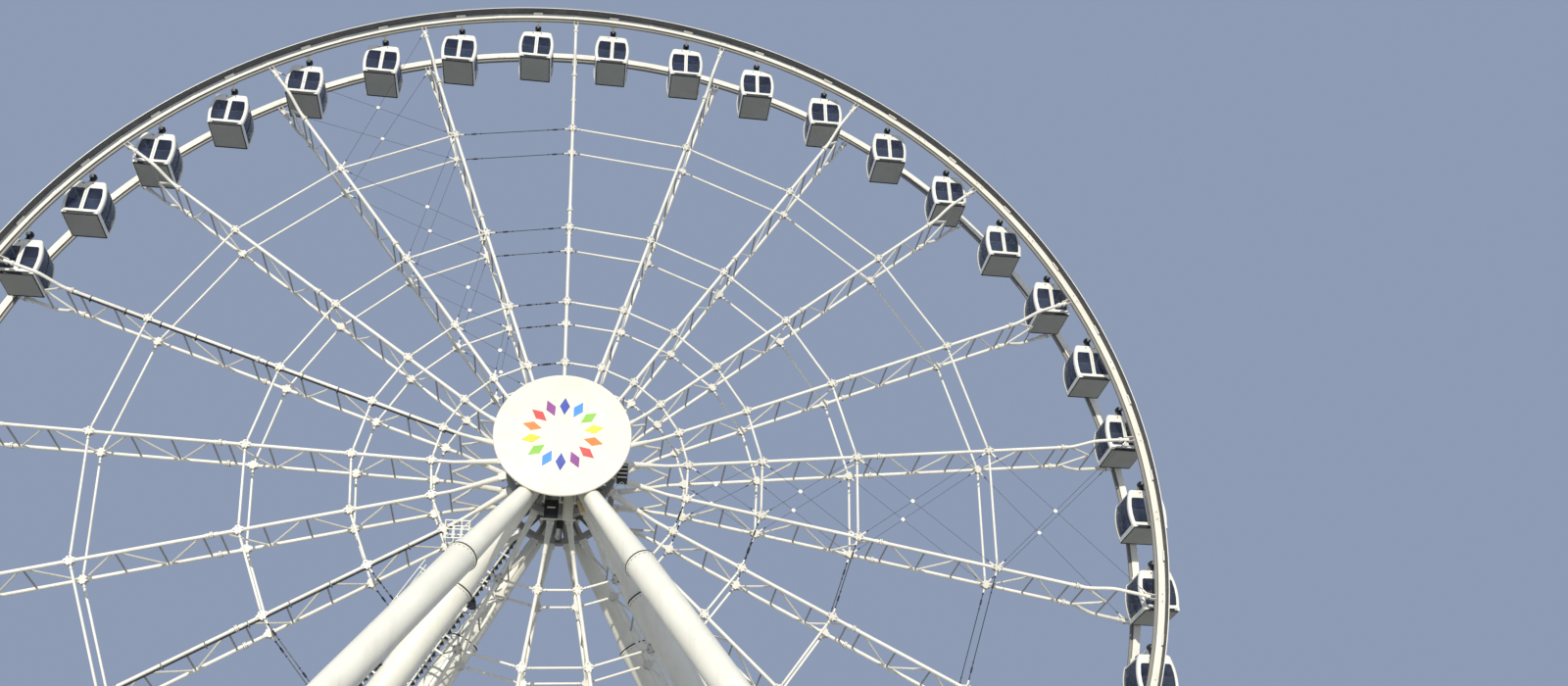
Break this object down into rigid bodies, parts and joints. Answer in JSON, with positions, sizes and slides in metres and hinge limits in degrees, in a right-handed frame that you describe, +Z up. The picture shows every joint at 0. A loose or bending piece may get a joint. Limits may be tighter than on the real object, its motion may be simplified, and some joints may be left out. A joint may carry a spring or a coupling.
{
  "type": "ferris wheel scale model",
  "caption": "Half-size model of a transportable ferris wheel: an open white wheel with level-hanging cabins, turning on tubular legs over a ground frame.",
  "frame": {"origin": "ground level, at the middle of the model's box in plan", "axes": "+Z up; +Y from the front of the wheel to its back, along the axle; +X to the right seen from the front"},
  "size_m": [28.699, 13.8672, 30.0102],
  "materials": {
    "white_paint": "satin white coat on steel tube and box section, lightly weathered",
    "leg_paint": "gloss white coat on rolled steel tube",
    "disc_paint": "smooth white sheet with plain coloured shapes",
    "hub_paint": "grey-white coat, dusty",
    "base_paint": "hot-dip galvanised beam, dull",
    "bare_steel": "turned shaft",
    "cabin_paint": "gloss white coat on moulded panels"
  },
  "bodies": {
    "stand": {"front_head": "leg_paint", "back_head": "leg_paint", "outrigger_left": "leg_paint", "outrigger_right": "leg_paint", "front_leg_left": "leg_paint", "front_leg_right": "leg_paint", "back_leg_left": "leg_paint", "back_leg_right": "leg_paint", "axle": "bare_steel", "front_disc": "disc_paint", "base_frame": "base_paint"},
    "wheel": {"front_rim": "white_paint", "back_rim": "white_paint", "hub": "hub_paint", "spokes_a": "white_paint", "spokes_b": "white_paint", "spokes_c": "white_paint", "spokes_d": "white_paint"},
    "cabin_01": {"cabin_01": "cabin_paint"},
    "cabin_02": {"cabin_02": "cabin_paint"},
    "cabin_03": {"cabin_03": "cabin_paint"},
    "cabin_04": {"cabin_04": "cabin_paint"},
    "cabin_05": {"cabin_05": "cabin_paint"},
    "cabin_06": {"cabin_06": "cabin_paint"},
    "cabin_07": {"cabin_07": "cabin_paint"},
    "cabin_08": {"cabin_08": "cabin_paint"},
    "cabin_09": {"cabin_09": "cabin_paint"},
    "cabin_10": {"cabin_10": "cabin_paint"},
    "cabin_11": {"cabin_11": "cabin_paint"},
    "cabin_12": {"cabin_12": "cabin_paint"},
    "cabin_13": {"cabin_13": "cabin_paint"},
    "cabin_14": {"cabin_14": "cabin_paint"},
    "cabin_15": {"cabin_15": "cabin_paint"},
    "cabin_16": {"cabin_16": "cabin_paint"},
    "cabin_17": {"cabin_17": "cabin_paint"},
    "cabin_18": {"cabin_18": "cabin_paint"},
    "cabin_19": {"cabin_19": "cabin_paint"},
    "cabin_20": {"cabin_20": "cabin_paint"},
    "cabin_21": {"cabin_21": "cabin_paint"},
    "cabin_22": {"cabin_22": "cabin_paint"},
    "cabin_23": {"cabin_23": "cabin_paint"},
    "cabin_24": {"cabin_24": "cabin_paint"},
    "cabin_25": {"cabin_25": "cabin_paint"},
    "cabin_26": {"cabin_26": "cabin_paint"},
    "cabin_27": {"cabin_27": "cabin_paint"},
    "cabin_28": {"cabin_28": "cabin_paint"},
    "cabin_29": {"cabin_29": "cabin_paint"},
    "cabin_30": {"cabin_30": "cabin_paint"},
    "cabin_31": {"cabin_31": "cabin_paint"},
    "cabin_32": {"cabin_32": "cabin_paint"},
    "cabin_33": {"cabin_33": "cabin_paint"},
    "cabin_34": {"cabin_34": "cabin_paint"},
    "cabin_35": {"cabin_35": "cabin_paint"},
    "cabin_36": {"cabin_36": "cabin_paint"},
    "cabin_37": {"cabin_37": "cabin_paint"},
    "cabin_38": {"cabin_38": "cabin_paint"},
    "cabin_39": {"cabin_39": "cabin_paint"},
    "cabin_40": {"cabin_40": "cabin_paint"},
    "cabin_41": {"cabin_41": "cabin_paint"},
    "cabin_42": {"cabin_42": "cabin_paint"}
  },
  "joints": [
    {"name": "wheel_spin", "type": "hinge", "parent": "stand", "child": "wheel", "pos_m": [0, 4.3714, 16], "axis": [0, 1, 0], "continuous": true},
    {"name": "cabin_01_swing", "type": "hinge", "parent": "wheel", "child": "cabin_01", "pos_m": [0.49789, 4.3714, 29.87107], "axis": [0, 1, 0], "continuous": true},
    {"name": "cabin_02_swing", "type": "hinge", "parent": "wheel", "child": "cabin_02", "pos_m": [2.55971, 4.3714, 29.64193], "axis": [0, 1, 0], "continuous": true},
    {"name": "cabin_03_swing", "type": "hinge", "parent": "wheel", "child": "cabin_03", "pos_m": [4.56434, 4.3714, 29.10806], "axis": [0, 1, 0], "continuous": true},
    {"name": "cabin_04_swing", "type": "hinge", "parent": "wheel", "child": "cabin_04", "pos_m": [6.46702, 4.3714, 28.28137], "axis": [0, 1, 0], "continuous": true},
    {"name": "cabin_05_swing", "type": "hinge", "parent": "wheel", "child": "cabin_05", "pos_m": [8.22523, 4.3714, 27.18034], "axis": [0, 1, 0], "continuous": true},
    {"name": "cabin_06_swing", "type": "hinge", "parent": "wheel", "child": "cabin_06", "pos_m": [9.7997, 4.3714, 25.82956], "axis": [0, 1, 0], "continuous": true},
    {"name": "cabin_07_swing", "type": "hinge", "parent": "wheel", "child": "cabin_07", "pos_m": [11.15527, 4.3714, 24.2592], "axis": [0, 1, 0], "continuous": true},
    {"name": "cabin_08_swing", "type": "hinge", "parent": "wheel", "child": "cabin_08", "pos_m": [12.26164, 4.3714, 22.50435], "axis": [0, 1, 0], "continuous": true},
    {"name": "cabin_09_swing", "type": "hinge", "parent": "wheel", "child": "cabin_09", "pos_m": [13.09411, 4.3714, 20.60419], "axis": [0, 1, 0], "continuous": true},
    {"name": "cabin_10_swing", "type": "hinge", "parent": "wheel", "child": "cabin_10", "pos_m": [13.63408, 4.3714, 18.60119], "axis": [0, 1, 0], "continuous": true},
    {"name": "cabin_11_swing", "type": "hinge", "parent": "wheel", "child": "cabin_11", "pos_m": [13.86949, 4.3714, 16.54008], "axis": [0, 1, 0], "continuous": true},
    {"name": "cabin_12_swing", "type": "hinge", "parent": "wheel", "child": "cabin_12", "pos_m": [13.79507, 4.3714, 14.46691], "axis": [0, 1, 0], "continuous": true},
    {"name": "cabin_13_swing", "type": "hinge", "parent": "wheel", "child": "cabin_13", "pos_m": [13.4125, 4.3714, 12.42799], "axis": [0, 1, 0], "continuous": true},
    {"name": "cabin_14_swing", "type": "hinge", "parent": "wheel", "child": "cabin_14", "pos_m": [12.73031, 4.3714, 10.46885], "axis": [0, 1, 0], "continuous": true},
    {"name": "cabin_15_swing", "type": "hinge", "parent": "wheel", "child": "cabin_15", "pos_m": [11.76375, 4.3714, 8.63328], "axis": [0, 1, 0], "continuous": true},
    {"name": "cabin_16_swing", "type": "hinge", "parent": "wheel", "child": "cabin_16", "pos_m": [10.53441, 4.3714, 6.96226], "axis": [0, 1, 0], "continuous": true},
    {"name": "cabin_17_swing", "type": "hinge", "parent": "wheel", "child": "cabin_17", "pos_m": [9.06974, 4.3714, 5.49313], "axis": [0, 1, 0], "continuous": true},
    {"name": "cabin_18_swing", "type": "hinge", "parent": "wheel", "child": "cabin_18", "pos_m": [7.40247, 4.3714, 4.25871], "axis": [0, 1, 0], "continuous": true},
    {"name": "cabin_19_swing", "type": "hinge", "parent": "wheel", "child": "cabin_19", "pos_m": [5.56984, 4.3714, 3.28657], "axis": [0, 1, 0], "continuous": true},
    {"name": "cabin_20_swing", "type": "hinge", "parent": "wheel", "child": "cabin_20", "pos_m": [3.6128, 4.3714, 2.59843], "axis": [0, 1, 0], "continuous": true},
    {"name": "cabin_21_swing", "type": "hinge", "parent": "wheel", "child": "cabin_21", "pos_m": [1.57504, 4.3714, 2.20965], "axis": [0, 1, 0], "continuous": true},
    {"name": "cabin_22_swing", "type": "hinge", "parent": "wheel", "child": "cabin_22", "pos_m": [-0.49789, 4.3714, 2.12893], "axis": [0, 1, 0], "continuous": true},
    {"name": "cabin_23_swing", "type": "hinge", "parent": "wheel", "child": "cabin_23", "pos_m": [-2.55971, 4.3714, 2.35807], "axis": [0, 1, 0], "continuous": true},
    {"name": "cabin_24_swing", "type": "hinge", "parent": "wheel", "child": "cabin_24", "pos_m": [-4.56434, 4.3714, 2.89194], "axis": [0, 1, 0], "continuous": true},
    {"name": "cabin_25_swing", "type": "hinge", "parent": "wheel", "child": "cabin_25", "pos_m": [-6.46702, 4.3714, 3.71863], "axis": [0, 1, 0], "continuous": true},
    {"name": "cabin_26_swing", "type": "hinge", "parent": "wheel", "child": "cabin_26", "pos_m": [-8.22523, 4.3714, 4.81966], "axis": [0, 1, 0], "continuous": true},
    {"name": "cabin_27_swing", "type": "hinge", "parent": "wheel", "child": "cabin_27", "pos_m": [-9.7997, 4.3714, 6.17044], "axis": [0, 1, 0], "continuous": true},
    {"name": "cabin_28_swing", "type": "hinge", "parent": "wheel", "child": "cabin_28", "pos_m": [-11.15527, 4.3714, 7.7408], "axis": [0, 1, 0], "continuous": true},
    {"name": "cabin_29_swing", "type": "hinge", "parent": "wheel", "child": "cabin_29", "pos_m": [-12.26164, 4.3714, 9.49565], "axis": [0, 1, 0], "continuous": true},
    {"name": "cabin_30_swing", "type": "hinge", "parent": "wheel", "child": "cabin_30", "pos_m": [-13.09411, 4.3714, 11.39581], "axis": [0, 1, 0], "continuous": true},
    {"name": "cabin_31_swing", "type": "hinge", "parent": "wheel", "child": "cabin_31", "pos_m": [-13.63408, 4.3714, 13.39881], "axis": [0, 1, 0], "continuous": true},
    {"name": "cabin_32_swing", "type": "hinge", "parent": "wheel", "child": "cabin_32", "pos_m": [-13.86949, 4.3714, 15.45992], "axis": [0, 1, 0], "continuous": true},
    {"name": "cabin_33_swing", "type": "hinge", "parent": "wheel", "child": "cabin_33", "pos_m": [-13.79507, 4.3714, 17.53309], "axis": [0, 1, 0], "continuous": true},
    {"name": "cabin_34_swing", "type": "hinge", "parent": "wheel", "child": "cabin_34", "pos_m": [-13.4125, 4.3714, 19.57201], "axis": [0, 1, 0], "continuous": true},
    {"name": "cabin_35_swing", "type": "hinge", "parent": "wheel", "child": "cabin_35", "pos_m": [-12.73031, 4.3714, 21.53115], "axis": [0, 1, 0], "continuous": true},
    {"name": "cabin_36_swing", "type": "hinge", "parent": "wheel", "child": "cabin_36", "pos_m": [-11.76375, 4.3714, 23.36672], "axis": [0, 1, 0], "continuous": true},
    {"name": "cabin_37_swing", "type": "hinge", "parent": "wheel", "child": "cabin_37", "pos_m": [-10.53441, 4.3714, 25.03774], "axis": [0, 1, 0], "continuous": true},
    {"name": "cabin_38_swing", "type": "hinge", "parent": "wheel", "child": "cabin_38", "pos_m": [-9.06974, 4.3714, 26.50687], "axis": [0, 1, 0], "continuous": true},
    {"name": "cabin_39_swing", "type": "hinge", "parent": "wheel", "child": "cabin_39", "pos_m": [-7.40247, 4.3714, 27.74129], "axis": [0, 1, 0], "continuous": true},
    {"name": "cabin_40_swing", "type": "hinge", "parent": "wheel", "child": "cabin_40", "pos_m": [-5.56984, 4.3714, 28.71343], "axis": [0, 1, 0], "continuous": true},
    {"name": "cabin_41_swing", "type": "hinge", "parent": "wheel", "child": "cabin_41", "pos_m": [-3.6128, 4.3714, 29.40157], "axis": [0, 1, 0], "continuous": true},
    {"name": "cabin_42_swing", "type": "hinge", "parent": "wheel", "child": "cabin_42", "pos_m": [-1.57504, 4.3714, 29.79035], "axis": [0, 1, 0], "continuous": true}
  ],
  "couplings": [
    {"joint": "cabin_01_swing", "follows": "wheel_spin", "ratio": -1},
    {"joint": "cabin_02_swing", "follows": "wheel_spin", "ratio": -1},
    {"joint": "cabin_03_swing", "follows": "wheel_spin", "ratio": -1},
    {"joint": "cabin_04_swing", "follows": "wheel_spin", "ratio": -1},
    {"joint": "cabin_05_swing", "follows": "wheel_spin", "ratio": -1},
    {"joint": "cabin_06_swing", "follows": "wheel_spin", "ratio": -1},
    {"joint": "cabin_07_swing", "follows": "wheel_spin", "ratio": -1},
    {"joint": "cabin_08_swing", "follows": "wheel_spin", "ratio": -1},
    {"joint": "cabin_09_swing", "follows": "wheel_spin", "ratio": -1},
    {"joint": "cabin_10_swing", "follows": "wheel_spin", "ratio": -1},
    {"joint": "cabin_11_swing", "follows": "wheel_spin", "ratio": -1},
    {"joint": "cabin_12_swing", "follows": "wheel_spin", "ratio": -1},
    {"joint": "cabin_13_swing", "follows": "wheel_spin", "ratio": -1},
    {"joint": "cabin_14_swing", "follows": "wheel_spin", "ratio": -1},
    {"joint": "cabin_15_swing", "follows": "wheel_spin", "ratio": -1},
    {"joint": "cabin_16_swing", "follows": "wheel_spin", "ratio": -1},
    {"joint": "cabin_17_swing", "follows": "wheel_spin", "ratio": -1},
    {"joint": "cabin_18_swing", "follows": "wheel_spin", "ratio": -1},
    {"joint": "cabin_19_swing", "follows": "wheel_spin", "ratio": -1},
    {"joint": "cabin_20_swing", "follows": "wheel_spin", "ratio": -1},
    {"joint": "cabin_21_swing", "follows": "wheel_spin", "ratio": -1},
    {"joint": "cabin_22_swing", "follows": "wheel_spin", "ratio": -1},
    {"joint": "cabin_23_swing", "follows": "wheel_spin", "ratio": -1},
    {"joint": "cabin_24_swing", "follows": "wheel_spin", "ratio": -1},
    {"joint": "cabin_25_swing", "follows": "wheel_spin", "ratio": -1},
    {"joint": "cabin_26_swing", "follows": "wheel_spin", "ratio": -1},
    {"joint": "cabin_27_swing", "follows": "wheel_spin", "ratio": -1},
    {"joint": "cabin_28_swing", "follows": "wheel_spin", "ratio": -1},
    {"joint": "cabin_29_swing", "follows": "wheel_spin", "ratio": -1},
    {"joint": "cabin_30_swing", "follows": "wheel_spin", "ratio": -1},
    {"joint": "cabin_31_swing", "follows": "wheel_spin", "ratio": -1},
    {"joint": "cabin_32_swing", "follows": "wheel_spin", "ratio": -1},
    {"joint": "cabin_33_swing", "follows": "wheel_spin", "ratio": -1},
    {"joint": "cabin_34_swing", "follows": "wheel_spin", "ratio": -1},
    {"joint": "cabin_35_swing", "follows": "wheel_spin", "ratio": -1},
    {"joint": "cabin_36_swing", "follows": "wheel_spin", "ratio": -1},
    {"joint": "cabin_37_swing", "follows": "wheel_spin", "ratio": -1},
    {"joint": "cabin_38_swing", "follows": "wheel_spin", "ratio": -1},
    {"joint": "cabin_39_swing", "follows": "wheel_spin", "ratio": -1},
    {"joint": "cabin_40_swing", "follows": "wheel_spin", "ratio": -1},
    {"joint": "cabin_41_swing", "follows": "wheel_spin", "ratio": -1},
    {"joint": "cabin_42_swing", "follows": "wheel_spin", "ratio": -1}
  ]
}
